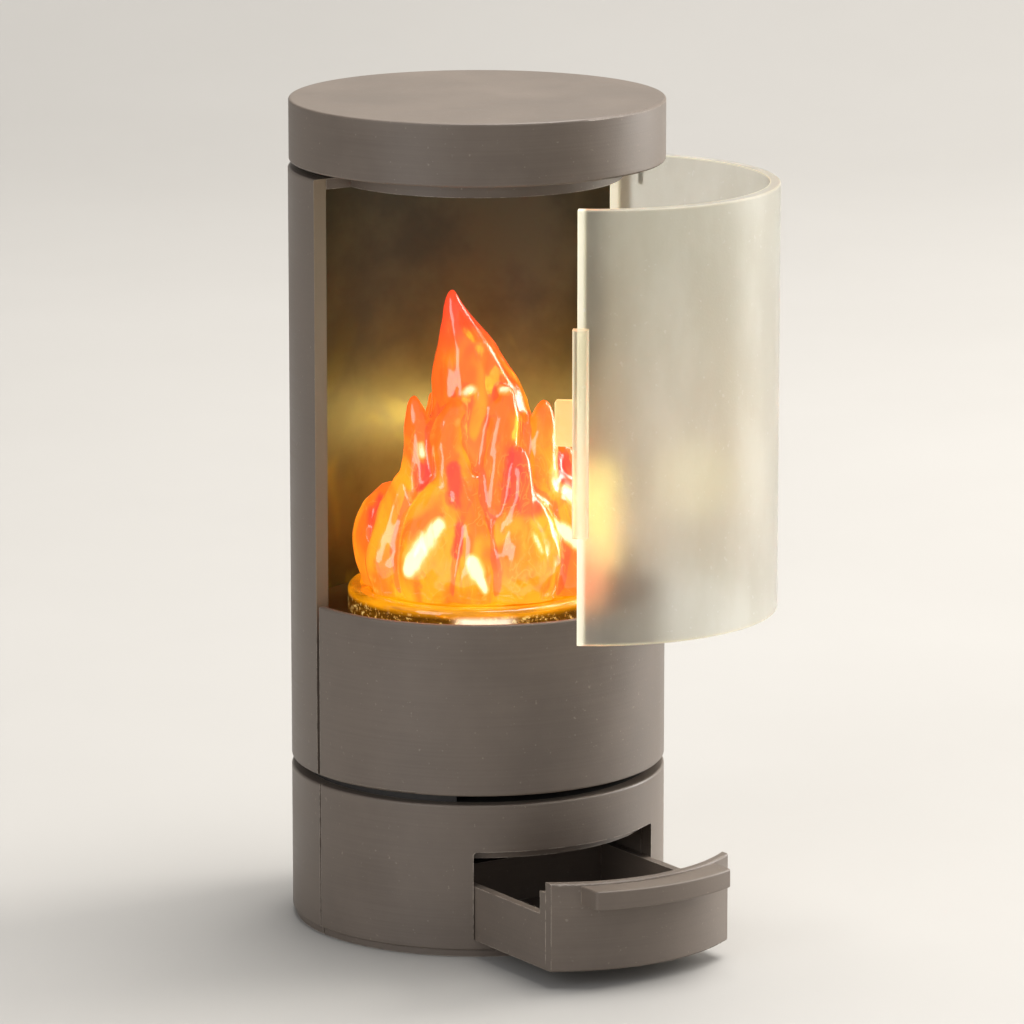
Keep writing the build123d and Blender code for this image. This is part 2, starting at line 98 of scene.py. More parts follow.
# ---------------------------------------------------------------- shader helpers
class Shader:
    """A material with one Principled node, and short ways to add nodes to it."""

    def __init__(self, name):
        self.material = bpy.data.materials.new(name)
        self.material.use_nodes = True
        self.tree = self.material.node_tree
        self.bsdf = next(n for n in self.tree.nodes if n.type == "BSDF_PRINCIPLED")

    def node(self, kind, **settings):
        made = self.tree.nodes.new(kind)
        for key, value in settings.items():
            setattr(made, key, value)
        return made

    def put(self, socket, value):
        """Link an output to a socket, or set a plain value on it."""
        if isinstance(value, bpy.types.NodeSocket):
            self.tree.links.new(value, socket)
        else:
            socket.default_value = value

    def set(self, **values):
        for key, value in values.items():
            self.put(self.bsdf.inputs[key.replace("_", " ")], value)

    def place(self):
        """The point on the piece in the shared frame, in metres."""
        return self.node("ShaderNodeTexCoord").outputs["Object"]

    def scaled(self, vector, scale):
        mapping = self.node("ShaderNodeMapping")
        self.put(mapping.inputs["Vector"], vector)
        mapping.inputs["Scale"].default_value = scale
        return mapping.outputs["Vector"]

    def noise(self, vector, scale, detail=3.0, roughness=0.5, distortion=0.0):
        made = self.node("ShaderNodeTexNoise")
        self.put(made.inputs["Vector"], vector)
        made.inputs["Scale"].default_value = scale
        made.inputs["Detail"].default_value = detail
        made.inputs["Roughness"].default_value = roughness
        made.inputs["Distortion"].default_value = distortion
        return made.outputs["Fac"]

    def math(self, operation, a, b=0.0, clamp=False):
        made = self.node("ShaderNodeMath", operation=operation, use_clamp=clamp)
        self.put(made.inputs[0], a)
        self.put(made.inputs[1], b)
        return made.outputs[0]

    def ramp(self, value, low, high, to_low=0.0, to_high=1.0):
        """A smooth step of a value from low to high."""
        made = self.node("ShaderNodeMapRange", interpolation_type="SMOOTHSTEP")
        self.put(made.inputs["Value"], value)
        made.inputs["From Min"].default_value = low
        made.inputs["From Max"].default_value = high
        made.inputs["To Min"].default_value = to_low
        made.inputs["To Max"].default_value = to_high
        return made.outputs["Result"]

    def mix(self, factor, a, b):
        made = self.node("ShaderNodeMix", data_type="RGBA")
        self.put(made.inputs["Factor"], factor)
        self.put(made.inputs["A"], a)
        self.put(made.inputs["B"], b)
        return made.outputs["Result"]

    def axes(self, vector):
        made = self.node("ShaderNodeSeparateXYZ")
        self.put(made.inputs[0], vector)
        return made.outputs

    def bump(self, height, distance, strength=1.0):
        made = self.node("ShaderNodeBump")
        self.put(made.inputs["Height"], height)
        made.inputs["Distance"].default_value = distance
        made.inputs["Strength"].default_value = strength
        return made.outputs["Normal"]

    def edges(self, radius):
        """About 1 on sharp edges and 0 on flat stretches."""
        bevel = self.node("ShaderNodeBevel", samples=4)
        bevel.inputs["Radius"].default_value = radius
        geometry = self.node("ShaderNodeNewGeometry")
        dot = self.node("ShaderNodeVectorMath", operation="DOT_PRODUCT")
        self.put(dot.inputs[0], bevel.outputs["Normal"])
        self.put(dot.inputs[1], geometry.outputs["Normal"])
        return self.ramp(dot.outputs["Value"], 0.995, 0.86)


def rgb(red, green, blue):
    return (red, green, blue, 1.0)


# ---------------------------------------------------------------- materials
PAINT = rgb(0.134, 0.104, 0.081)
PAINT_LIGHT = rgb(0.168, 0.132, 0.104)
PAINT_WORN_AND_SHEEN = rgb(0.48, 0.41, 0.34)
FIRELIT_SHADE = rgb(0.060, 0.057, 0.033)
FIRELIT_SHADE_LIGHT = rgb(0.104, 0.099, 0.053)
PAINTED_CAUSTIC = rgb(0.38, 0.36, 0.05)
FIRELIT_EDGE = rgb(0.27, 0.205, 0.130)
FLOOR_BROWN = rgb(0.075, 0.055, 0.040)
WORN_AND_SHEEN_EDGE = 0.16 * MM
INSIDE_SHADE_SKIN = 0.05 * MM
INSIDE_SHADE_EDGE = 0.25 * MM
CAUSTIC_FOOT = 6.0 * MM
CUT_SKIN = 0.04 * MM
CUT_EDGE = 0.10 * MM
CUT_FOOT = 4.0 * MM
PLAIN_GRAIN = 900.0

FROST_DARK = rgb(0.78, 0.765, 0.68)
FROST_LIGHT = rgb(0.88, 0.875, 0.805)
FROST_RIM_TINT_AND_HIGHLIGHT = rgb(0.97, 0.93, 0.74)
FROST_SPECK = rgb(1.0, 1.0, 0.97)
RIM_GLOW = rgb(1.0, 0.88, 0.52)
BAND_GLOW = rgb(1.0, 0.95, 0.80)
TONGUE_GLOW = rgb(1.0, 0.60, 0.14)
BAND_FULL = 0.35 * MM
BAND_END = 1.1 * MM
TONGUE_START = 0.2 * MM
TONGUE_FULL = 0.7 * MM
DOOR_RIM = 0.35 * MM
HANDLE_RIM = 0.14 * MM

AMBER_DEEP = rgb(0.95, 0.33, 0.005)
AMBER_PALE = rgb(1.0, 0.55, 0.03)
AMBER_DARK = rgb(0.20, 0.09, 0.01)
AMBER_GLOW = rgb(1.0, 0.33, 0.002)
AMBER_GLINT = rgb(1.0, 0.78, 0.30)
AMBER_LAMP_POOL = rgb(1.0, 0.92, 0.70)
GLINT_BAND_TOP = 2.3 * MM
GLINT_BAND_FULL = 1.6 * MM
LAMP_PATCH_REACH = 4.4 * MM
LAMP_PATCH_FULL = 2.2 * MM

RESIN_ORANGE = rgb(1.0, 0.17, 0.025)
RESIN_AMBER = rgb(1.0, 0.38, 0.03)
RESIN_RED = rgb(0.93, 0.045, 0.045)
RESIN_CRIMSON = rgb(0.88, 0.02, 0.05)
GLOW_ORANGE = rgb(1.0, 0.19, 0.022)
GLOW_AMBER = rgb(1.0, 0.40, 0.022)
GLOW_RED = rgb(0.97, 0.075, 0.045)
GLOW_CRIMSON = rgb(0.93, 0.022, 0.050)
GLOW_SHADE = rgb(0.62, 0.20, 0.008)
GLOW_CAUSTIC = rgb(1.0, 0.62, 0.12)
GLOW_HIGHLIGHT_HALO = rgb(1.0, 0.56, 0.10)
GLOW_HIGHLIGHT = rgb(1.0, 0.86, 0.55)


def paint(name, inside=False):
    """Semi-matte warm grey-brown paint: fine level brush lines, mottling, and worn light edges that double as a
    painted edge highlight.

    The firebox side of a shell (inside) carries painted shade, tinted dark olive as painted firelight, with
    painted gold caustic streaks low down.
    Its cut front edge is firelit.
    """
    s = Shader(name)
    place = s.place()
    mottling = s.noise(place, 95.0, 4.0, 0.6)
    lines = s.noise(s.scaled(place, (60.0, 60.0, 4200.0)), 1.0, 2.0, 0.5)
    grain = s.noise(place, 5200.0, 2.0, 0.5)
    tone = s.math("ADD", s.math("MULTIPLY", mottling, 0.72), s.math("MULTIPLY", lines, 0.28))
    colour = s.mix(s.ramp(tone, 0.30, 0.70), PAINT, PAINT_LIGHT)
    speck = s.ramp(s.noise(place, 2600.0, 1.0, 0.4), 0.72, 0.80)
    colour = s.mix(s.math("MULTIPLY", speck, 0.22), colour, PAINT_WORN_AND_SHEEN)
    # Lighter edges: worn paint, and a painted highlight where rounded edges catch the light.
    chips = s.ramp(s.noise(place, 700.0, 4.0, 0.7), 0.40, 0.54)
    wear_and_sheen = s.math("MULTIPLY", s.edges(WORN_AND_SHEEN_EDGE), chips)
    colour = s.mix(s.math("MULTIPLY", wear_and_sheen, 0.9), colour, PAINT_WORN_AND_SHEEN)
    if inside:
        axes = s.axes(place)
        across = s.math("SQRT", s.math("ADD", s.math("MULTIPLY", axes["X"], axes["X"]),
                                       s.math("MULTIPLY", axes["Y"], axes["Y"])))
        shell_inner = BODY_RADIUS - SHELL_WALL
        # Firebox side: painted shade with an olive tint of painted firelight, in place of the stove's own paint.
        deep = s.ramp(across, shell_inner + INSIDE_SHADE_EDGE, shell_inner + INSIDE_SHADE_SKIN)
        firelit_shade = s.mix(s.ramp(mottling, 0.35, 0.65), FIRELIT_SHADE, FIRELIT_SHADE_LIGHT)
        # Painted caustic streaks of flame light on the lower firebox wall.
        streak = s.ramp(s.noise(s.scaled(place, (90.0, 90.0, 55.0)), 1.0, 2.0, 0.5, 1.4), 0.50, 0.68)
        low = s.ramp(axes["Z"], flame_high.z, floor_top + CAUSTIC_FOOT)
        firelit_shade = s.mix(s.math("MULTIPLY", s.math("MULTIPLY", streak, low), 0.38), firelit_shade, PAINTED_CAUSTIC)
        colour = s.mix(deep, colour, firelit_shade)
        cut_face = s.ramp(axes["Y"], shell_low.y + CUT_EDGE, shell_low.y + CUT_SKIN)
        cut_face = s.math("MULTIPLY", cut_face, s.ramp(axes["Z"], floor_top, floor_top + CUT_FOOT))
        colour = s.mix(s.math("MULTIPLY", cut_face, 0.85), colour, FIRELIT_EDGE)
        lines = s.math("MULTIPLY", lines, s.math("SUBTRACT", 1.0, s.math("MULTIPLY", deep, 0.8)))
    s.set(Base_Color=colour, Specular_IOR_Level=0.55,
          Roughness=s.ramp(tone, 0.3, 0.7, 0.40, 0.52))
    height = s.math("ADD", s.math("MULTIPLY", lines, 0.5), s.math("MULTIPLY", grain, 0.5))
    s.set(Normal=s.bump(height, 0.035 * MM, 0.55))
    return s.material


def plain(name, colour, second, roughness, metallic=0.0):
    """A plain moulded or metal finish with fine grain in its colour, gloss and surface."""
    s = Shader(name)
    place = s.place()
    grain = s.noise(place, PLAIN_GRAIN, 4.0, 0.6)
    s.set(Base_Color=s.mix(s.ramp(grain, 0.35, 0.65), colour, second), Metallic=metallic,
          Roughness=s.ramp(grain, 0.3, 0.7, roughness, roughness + 0.12))
    s.set(Normal=s.bump(grain, 0.02 * MM, 0.4))
    return s.material


def frosted(name, rim, banded):
    """Frosted clear casting: grey-olive cloud, specks, and cream rims that are partly tint and partly painted
    highlight, with a painted glow.

    The door (banded 1.0) has a painted glow along its free edge; its handle (banded 0.0) glows faintly all over
    and has a latch tongue with painted firelight.
    """
    s = Shader(name)
    place = s.place()
    fine = s.noise(place, 3400.0, 3.0, 0.6)
    cloud = s.noise(s.scaled(place, (150.0, 150.0, 60.0)), 1.0, 4.0, 0.6)
    speck = s.ramp(s.noise(place, 1900.0, 1.0, 0.4), 0.70, 0.76)
    edge = s.edges(rim)
    # The way that the door's wall runs from its free edge, as the door stands at rest.
    inward = Vector((0.0, -1.0, 0.0))
    inward.rotate(Matrix.Rotation(DOOR_OPEN, 3, "Z"))
    from_edge = s.node("ShaderNodeVectorMath", operation="DOT_PRODUCT")
    s.put(from_edge.inputs[0], place)
    from_edge.inputs[1].default_value = inward
    edge_at = FREE_EDGE.dot(inward)
    band = s.ramp(from_edge.outputs["Value"], edge_at + BAND_END, edge_at + BAND_FULL, 0.0, banded)
    colour = s.mix(s.ramp(cloud, 0.35, 0.65), FROST_DARK, FROST_LIGHT)
    # Cream rims: partly the casting's tint, partly a painted highlight along edges and the free edge.
    colour = s.mix(s.math("MAXIMUM", edge, s.math("MULTIPLY", band, 0.7)), colour, FROST_RIM_TINT_AND_HIGHLIGHT)
    colour = s.mix(s.math("MULTIPLY", speck, 0.6), colour, FROST_SPECK)
    s.set(Base_Color=colour, IOR=1.30, Transmission_Weight=s.ramp(band, 0.0, 1.0, 0.88, 0.55),
          Roughness=s.ramp(cloud, 0.3, 0.7, 0.30, 0.40))
    # Emission is painted light: a glow along the rims and the door's free edge.
    glow = s.math("MAXIMUM", s.math("MULTIPLY", edge, 0.24), s.math("MULTIPLY", band, 0.30))
    tint = s.mix(band, RIM_GLOW, BAND_GLOW)
    if not banded:
        # Painted firelight on the latch tongue, and a faint painted glow over the whole handle.
        tongue = s.ramp(from_edge.outputs["Value"], edge_at - TONGUE_START, edge_at - TONGUE_FULL)
        glow = s.math("MAXIMUM", glow, s.math("ADD", s.math("MULTIPLY", tongue, 0.26), 0.08))
        tint = s.mix(tongue, tint, TONGUE_GLOW)
    s.set(Emission_Color=tint, Emission_Strength=glow)
    s.set(Normal=s.bump(fine, 0.03 * MM, 0.5))
    return s.material


def amber():
    """Clear amber moulding, darker towards its foot, with a painted glow of the lamp below it: painted glints low
    down and a painted pool of lamp light at the front.
    """
    s = Shader("amber_clear")
    place = s.place()
    axes = s.axes(place)
    low = s.ramp(axes["Z"], floor_top + GLINT_BAND_TOP, floor_top + GLINT_BAND_FULL)
    # Specks low down that carry painted glints of lamp light; between them the disc is darker towards its foot.
    glint_speck = s.ramp(s.noise(place, 1500.0, 3.0, 0.75), 0.50, 0.66)
    streak = s.noise(s.scaled(place, (140.0, 140.0, 900.0)), 1.0, 3.0, 0.6)
    colour = s.mix(s.ramp(streak, 0.35, 0.65), AMBER_DEEP, AMBER_PALE)
    dark = s.math("MULTIPLY", low, s.math("SUBTRACT", 1.0, glint_speck))
    colour = s.mix(s.math("MULTIPLY", dark, 0.85), colour, AMBER_DARK)
    # Emission is painted lamp light: an amber glow and painted glints on the specks.
    glow = s.mix(s.math("MULTIPLY", low, glint_speck), AMBER_GLOW, AMBER_GLINT)
    # A painted pool of lamp light at the front of the foot.
    lit_spot = s.node("ShaderNodeVectorMath", operation="DISTANCE")
    s.put(lit_spot.inputs[0], place)
    lit_spot.inputs[1].default_value = seen_from_front(0.8, DISC_RADIUS / MM, floor_top / MM + 1.3)
    patch = s.math("MULTIPLY", s.ramp(lit_spot.outputs["Value"], LAMP_PATCH_REACH, LAMP_PATCH_FULL), low)
    glow = s.mix(s.math("MULTIPLY", patch, 0.9), glow, AMBER_LAMP_POOL)
    dark = s.math("MULTIPLY", dark, s.math("SUBTRACT", 1.0, patch))
    power = s.math("ADD", s.ramp(streak, 0.3, 0.7, 0.34, 0.85), s.math("MULTIPLY", patch, 0.6))
    power = s.math("MULTIPLY", power, s.math("SUBTRACT", 1.0, s.math("MULTIPLY", dark, 0.9)))
    s.set(Base_Color=colour, Transmission_Weight=0.55, IOR=1.49, Roughness=0.07,
          Coat_Weight=0.6, Coat_Roughness=0.04, Emission_Color=glow, Emission_Strength=power)
    s.set(Normal=s.bump(streak, 0.05 * MM, 0.4))
    return s.material


def flame_resin():
    """Glossy orange casting with a painted glow of the lamp at its foot: amber lobes, red creases and tip, crimson
    patches, painted shade low down, painted caustic lines and painted highlight patches.
    """
    s = Shader("flame_resin")
    place = s.place()
    crease = s.node("ShaderNodeAttribute", attribute_name="crease").outputs["Fac"]
    highlight_mask = s.node("ShaderNodeAttribute", attribute_name="painted_highlight").outputs["Fac"]
    crimson = s.node("ShaderNodeAttribute", attribute_name="crimson").outputs["Fac"]
    height = s.ramp(s.axes(place)["Z"], flame_low.z, flame_high.z)
    swirl = s.noise(s.scaled(place, (170.0, 170.0, 90.0)), 1.0, 2.0, 0.5, 0.8)
    veil = s.noise(s.scaled(place, (420.0, 420.0, 190.0)), 1.0, 3.0, 0.55, 1.2)
    amber_share = s.ramp(s.math("ADD", swirl, s.math("MULTIPLY", height, -0.22)), 0.33, 0.55)
    red_share = s.math("MAXIMUM", s.ramp(crease, 0.25, 0.85, 0.0, 0.75), s.ramp(height, 0.86, 1.0))
    red_share = s.math("MAXIMUM", red_share, s.ramp(veil, 0.56, 0.72, 0.0, 0.45))
    colour = s.mix(amber_share, RESIN_ORANGE, RESIN_AMBER)
    colour = s.mix(s.math("MULTIPLY", red_share, 0.8), colour, RESIN_RED)
    # Emission is painted light of the lamp in the foot, shining through the casting.
    glow = s.mix(amber_share, GLOW_ORANGE, GLOW_AMBER)
    glow = s.mix(s.math("MULTIPLY", red_share, 0.62), glow, GLOW_RED)
    ragged = s.math("MULTIPLY", s.math("SUBTRACT", veil, 0.5), 0.8)
    blot = s.ramp(s.math("ADD", crimson, ragged), 0.10, 0.75)
    glow = s.mix(s.math("MULTIPLY", blot, 0.68), glow, GLOW_CRIMSON)
    colour = s.mix(s.math("MULTIPLY", blot, 0.70), colour, RESIN_CRIMSON)
    depth = s.noise(s.scaled(place, (260.0, 260.0, 150.0)), 1.0, 2.0, 0.5, 1.8)
    # Painted shade: darker glow in blotches inside the lower lobes.
    deep = s.math("MULTIPLY", s.ramp(depth, 0.52, 0.66), s.ramp(height, 0.5, 0.1, 0.0, 0.75))
    glow = s.mix(deep, glow, GLOW_SHADE)
    # Painted caustic lines: thin bright threads of refracted lamp light in the lower part.
    wisp = s.noise(s.scaled(place, (300.0, 300.0, 150.0)), 1.0, 2.0, 0.5, 2.2)
    caustic_line = s.ramp(s.math("ABSOLUTE", s.math("SUBTRACT", wisp, 0.5)), 0.030, 0.0)
    caustic_line = s.math("MULTIPLY", caustic_line, s.ramp(depth, 0.46, 0.56))
    caustic_line = s.math("MULTIPLY", caustic_line, s.ramp(height, 0.8, 0.4))
    glow = s.mix(s.math("MULTIPLY", caustic_line, 0.4), glow, GLOW_CAUSTIC)
    # Painted highlights: white-hot patches where lamp light shines through and catches the lobes.
    uneven = s.math("MULTIPLY", s.math("SUBTRACT", veil, 0.5), 1.1)
    highlight_level = s.math("MULTIPLY", s.math("ADD", highlight_mask, uneven), s.ramp(highlight_mask, 0.0, 0.3))
    glow = s.mix(s.ramp(highlight_level, 0.10, 0.60), glow, GLOW_HIGHLIGHT_HALO)
    highlight_core = s.ramp(highlight_level, 0.42, 1.0)
    glow = s.mix(highlight_core, glow, GLOW_HIGHLIGHT)
    # Painted glow is strongest at the foot, nearest the lamp.
    power = s.math("ADD", s.ramp(height, 1.0, 0.0, 0.50, 0.72), s.math("MULTIPLY", highlight_core, 0.60))
    s.set(Base_Color=colour, Transmission_Weight=0.30, IOR=1.5, Roughness=0.10,
          Coat_Weight=1.0, Coat_Roughness=0.03, Emission_Color=glow, Emission_Strength=power)
    s.set(Normal=s.bump(veil, 0.12 * MM, 0.3))
    return s.material


# ---------------------------------------------------------------- flame mesh
# Each strand runs through points given across the view, towards the viewer and up, in
# millimetres, with its radius there. Strands are joined into one casting and smoothed.
CORE = [(0, 0, 38, 10.4), (0, 0, 43, 9.2), (0.2, 0, 48, 7.9), (0.4, 0, 53, 6.9), (0.2, 0, 56.5, 6.0),
        (-0.2, 0, 59, 5.2), (-0.8, 0, 61.5, 4.4), (-1.2, 0, 63.6, 3.6), (-1.9, 0, 66, 2.5),
        (-2.3, 0, 67.6, 1.75), (-2.7, 0, 69.2, 1.15), (-2.84, 0, 70.6, 0.6)]
TONGUES = [
    [(-5.8, 4.0, 49, 3.0), (-6.0, 3.8, 52.5, 2.5), (-6.4, 3.4, 55.4, 1.9), (-6.8, 3.0, 57.6, 1.25),
     (-7.0, 2.8, 59.2, 0.65)],
    [(6.4, 3.6, 48, 3.2), (6.8, 3.0, 52, 2.5), (7.1, 2.6, 55, 1.9), (7.3, 2.3, 57.2, 1.2),
     (7.4, 2.2, 58.5, 0.5)],
    [(4.6, 8.2, 47.0, 2.3), (4.7, 7.9, 49.6, 1.75), (4.75, 7.5, 51.8, 1.35), (4.75, 7.1, 53.4, 0.85),
     (4.75, 6.9, 54.4, 0.4)],
    [(-2.2, 7.0, 47, 3.0), (-2.5, 6.4, 51, 2.6), (-3.4, 5.6, 54.4, 2.1), (-3.2, 5.0, 57.0, 1.6),
     (-2.2, 4.8, 58.4, 1.2)],
    [(1.8, 6.6, 48, 2.6), (2.2, 5.9, 52.6, 2.3), (2.8, 5.0, 57.0, 1.9), (3.2, 4.3, 60.0, 1.1)],
    [(9.0, 1.0, 46, 2.8), (9.4, 0.6, 50, 2.1), (9.6, 0.2, 52.8, 1.1)],
    [(-3.6, -6.6, 47, 3.2), (-4.2, -5.6, 53, 2.2), (-4.8, -4.6, 58, 0.8)],
    [(3.4, -6.4, 48, 3.4), (3.0, -5.4, 55, 2.4), (2.4, -4.2, 62, 0.8)],
    [(7.6, -5.0, 44, 2.8), (8.2, -4.4, 49, 1.8), (8.4, -4.0, 52.4, 0.7)],
    [(-8.0, -4.4, 44, 2.8), (-7.4, -4.0, 48.4, 1.6), (-6.8, -3.6, 51, 0.6)],
]
PETALS = [
    [(-11.0, 0.6, 38.4, 2.1), (-11.8, 0.4, 42.0, 2.3), (-11.4, 0.4, 45.2, 2.2), (-9.8, 0.6, 47.8, 1.8)],
    [(-9.2, 5.6, 38.4, 2.6), (-9.6, 5.2, 42.4, 2.9), (-8.8, 4.4, 46.4, 2.5), (-7.6, 3.6, 49.8, 1.8)],
    [(-5.0, 8.0, 38.6, 3.6), (-5.2, 7.9, 42.8, 4.0), (-4.4, 7.2, 46.4, 3.5), (-3.6, 6.2, 49.4, 2.4)],
    [(-0.4, 9.5, 38.4, 2.7), (-0.3, 9.4, 42.0, 2.6), (-0.6, 8.3, 46.0, 2.0), (-0.6, 7.2, 50.4, 1.5)],
    [(4.8, 7.6, 38.8, 4.3), (5.0, 7.3, 43.2, 4.5), (4.9, 6.9, 46.6, 3.4)],
    [(9.6, 4.6, 38.4, 3.2), (9.9, 4.2, 42.8, 3.4), (9.3, 3.4, 46.6, 2.6), (8.8, 2.6, 49.4, 1.7)],
    [(11.4, -0.6, 38.4, 2.3), (11.7, -0.8, 42.8, 2.4), (10.6, -0.8, 47.0, 1.8)],
    [(9.6, -5.4, 40.4, 2.6), (9.6, -5.2, 44.0, 2.6), (8.0, -4.2, 48.4, 1.6)],
    [(4.4, -9.2, 40.8, 3.2), (4.4, -8.8, 44.6, 3.2), (3.2, -7.0, 49.4, 2.0)],
    [(-2.2, -10.2, 40.2, 2.7), (-2.2, -9.6, 44.0, 2.7), (-1.6, -7.6, 49.2, 1.7)],
    [(-7.6, -7.6, 40.4, 2.7), (-7.8, -7.2, 43.8, 2.8), (-6.0, -5.8, 48.6, 1.8)],
]
# Painted highlights where the lamp shines through: the two ends of each patch and its radius, in the same
# millimetres.
HIGHLIGHT_PATCHES = [
    ((-7.9, 11.0, 41.6), (-4.4, 11.0, 46.6), 0.60), ((-7.2, 11.0, 42.6), (-5.6, 11.0, 44.8), 0.82),
    ((-0.5, 12.0, 42.6), (-0.1, 12.0, 41.4), 0.60), ((-0.2, 12.0, 41.6), (0.9, 12.0, 39.5), 0.38),
    ((6.2, 11.4, 46.0), (7.2, 11.4, 43.8), 0.28), ((8.8, 7.4, 46.0), (11.8, 6.4, 43.0), 0.50),
    ((9.8, 5.2, 50.4), (11.2, 4.4, 47.4), 0.60), ((2.8, 4.4, 61.2), (3.6, 4.4, 59.0), 0.45),
    ((-1.4, 5.2, 60.4), (-0.6, 4.9, 60.8), 0.40), ((-1.9, 6.8, 57.4), (-0.9, 6.8, 57.0), 0.45),
    ((-10.6, 7.6, 45.6), (-10.4, 7.8, 44.6), 0.25), ((-6.4, 6.0, 54.8), (-6.2, 6.2, 53.6), 0.30),
]
# Where the casting is tinted crimson, in the same way.
RED_PATCHES = [
    ((4.8, 8.4, 53.8), (5.3, 9.2, 49.0), 1.2), ((-2.7, 8.2, 52.4), (-2.3, 8.8, 48.4), 0.5),
    ((6.8, 7.6, 47.4), (7.6, 7.0, 44.8), 0.7),
    ((-6.2, 6.2, 51.6), (-6.2, 6.6, 50.4), 0.6), ((-10.8, 3.0, 46.6), (-10.9, 5.0, 41.6), 1.1),
    ((-1.9, 9.2, 46.8), (-2.3, 10.6, 43.6), 0.5), ((9.6, 2.4, 52.4), (10.2, 3.0, 49.6), 0.7),
]
VOXEL = 0.30 * MM
STRAND_STEPS = 7
THINNEST = 0.35
SPHERE_DETAIL = 2
SMOOTH_PASSES = 7
FOLD_HEIGHT = 0.34
RIPPLE_HEIGHT = 0.12
TIP_FADE = 12.0
FOOT_GAP = 0.02 * MM
CREASE_SCALE = 26.0
CREASE_REACH = 6
CREASE_BLUR = 4
PATCH_FADE = 1.6
PATCH_CORE = 1.5


def catmull(a, b, c, d, t):
    """One value of a smooth curve through b and c."""
    square = (2 * a - 5 * b + 4 * c - d) * t * t
    cube = (3 * b - a - 3 * c + d) * t ** 3
    return 0.5 * ((2 * b) + (c - a) * t + square + cube)


def strand_spheres(points):
    """Centres and radii along a strand."""
    padded = [points[0]] + list(points) + [points[-1]]
    found = []
    for i in range(1, len(padded) - 2):
        for k in range(STRAND_STEPS):
            t = k / STRAND_STEPS
            corners = zip(padded[i - 1], padded[i], padded[i + 1], padded[i + 2])
            across, towards, up, radius = (catmull(a, b, c, d, t) for a, b, c, d in corners)
            found.append((seen_from_front(across, towards, up), max(radius, THINNEST) * MM))
    across, towards, up, radius = points[-1]
    found.append((seen_from_front(across, towards, up), radius * MM))
    return found


def make_flame():
    """The visible casting: strands of balls joined by a remesh, then smoothed, folded and painted."""
    mesh = bpy.data.meshes.new("flame_casting")
    build = bmesh.new()
    for strand in [CORE] + TONGUES + PETALS:
        for centre, radius in strand_spheres(strand):
            place = Matrix.Translation(centre)
            bmesh.ops.create_icosphere(build, subdivisions=SPHERE_DETAIL, radius=radius, matrix=place)
    build.to_mesh(mesh)
    build.free()
    flame = bpy.data.objects.new("flame_casting", mesh)
    bpy.context.scene.collection.objects.link(flame)
    remesh = flame.modifiers.new("join", "REMESH")
    remesh.mode = "VOXEL"
    remesh.voxel_size = VOXEL
    smooth = flame.modifiers.new("smooth", "SMOOTH")
    smooth.iterations = SMOOTH_PASSES
    smooth.factor = 0.5
    apply_modifiers(flame)
    shape_flame(flame.data)
    paint_flame(flame.data)
    for face in flame.data.polygons:
        face.use_smooth = True
    flame.data.materials.append(flame_resin())
    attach(flame, "stove")
    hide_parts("flame")


def shape_flame(mesh):
    """Fold the surface with slow noise, and stand its foot flat on the disc."""
    foot = disc_high.z + FOOT_GAP
    normals = [v.normal.copy() for v in mesh.vertices]
    for vertex, normal in zip(mesh.vertices, normals):
        point = vertex.co / MM
        folds = noise.noise(Vector((point.x * 0.42, point.y * 0.42, point.z * 0.20)))
        ripples = noise.noise(Vector((point.x, point.y, point.z * 0.5)) * 0.9 + Vector((7.0, 3.0, 1.0)))
        tip = min(1.0, max(0.0, (flame_high.z / MM - point.z) / TIP_FADE))
        vertex.co += normal * (FOLD_HEIGHT * folds + RIPPLE_HEIGHT * ripples) * MM * tip
        vertex.co.z = max(vertex.co.z, foot)
        vertex.co.z = min(vertex.co.z, flame_high.z)
    mesh.update()


def paint_flame(mesh):
    """Store how creased the surface is, where the painted highlights go and where it is crimson, for the material.
    """
    count = len(mesh.vertices)
    points = np.empty(count * 3)
    mesh.vertices.foreach_get("co", points)
    points = points.reshape(-1, 3)
    normals = np.array([v.normal for v in mesh.vertices])
    ends = np.empty(len(mesh.edges) * 2, dtype=np.int64)
    mesh.edges.foreach_get("vertices", ends)
    ends = ends.reshape(-1, 2)
    links = np.bincount(ends.ravel(), minlength=count)

    def spread(values):
        """Each vertex's mean over its neighbours."""
        total = np.zeros_like(values)
        np.add.at(total, ends[:, 0], values[ends[:, 1]])
        np.add.at(total, ends[:, 1], values[ends[:, 0]])
        return total / links.reshape((-1,) + (1,) * (values.ndim - 1))

    around = points
    for _ in range(CREASE_REACH):
        around = spread(around)
    hollow = ((around - points) * normals).sum(axis=1) / MM
    for _ in range(CREASE_BLUR):
        hollow = spread(hollow)
    crease = np.clip(hollow * CREASE_SCALE, 0.0, 1.0)

    def patched(patches):
        """How near each vertex is to a patch: 1 inside one, fading to 0."""
        near = np.zeros(count)
        for start, end, radius in patches:
            a, b = np.array(seen_from_front(*start)), np.array(seen_from_front(*end))
            along = np.clip(((points - a) @ (b - a)) / ((b - a) @ (b - a)), 0.0, 1.0)
            nearest = a + along[:, None] * (b - a)
            distance = np.linalg.norm(points - nearest, axis=1) / MM
            near = np.maximum(near, np.clip(PATCH_CORE - distance / (radius * PATCH_FADE), 0.0, 1.0))
        return near

    painted = {"crease": crease, "painted_highlight": patched(HIGHLIGHT_PATCHES), "crimson": patched(RED_PATCHES)}
    for name, values in painted.items():
        mesh.attributes.new(name, "FLOAT", "POINT").data.foreach_set("value", values)


def apply_modifiers(obj):
    """Replace a piece's mesh by what its modifiers make of it."""
    graph = bpy.context.evaluated_depsgraph_get()
    made = bpy.data.meshes.new_from_object(obj.evaluated_get(graph))
    obj.modifiers.clear()
    obj.data = made


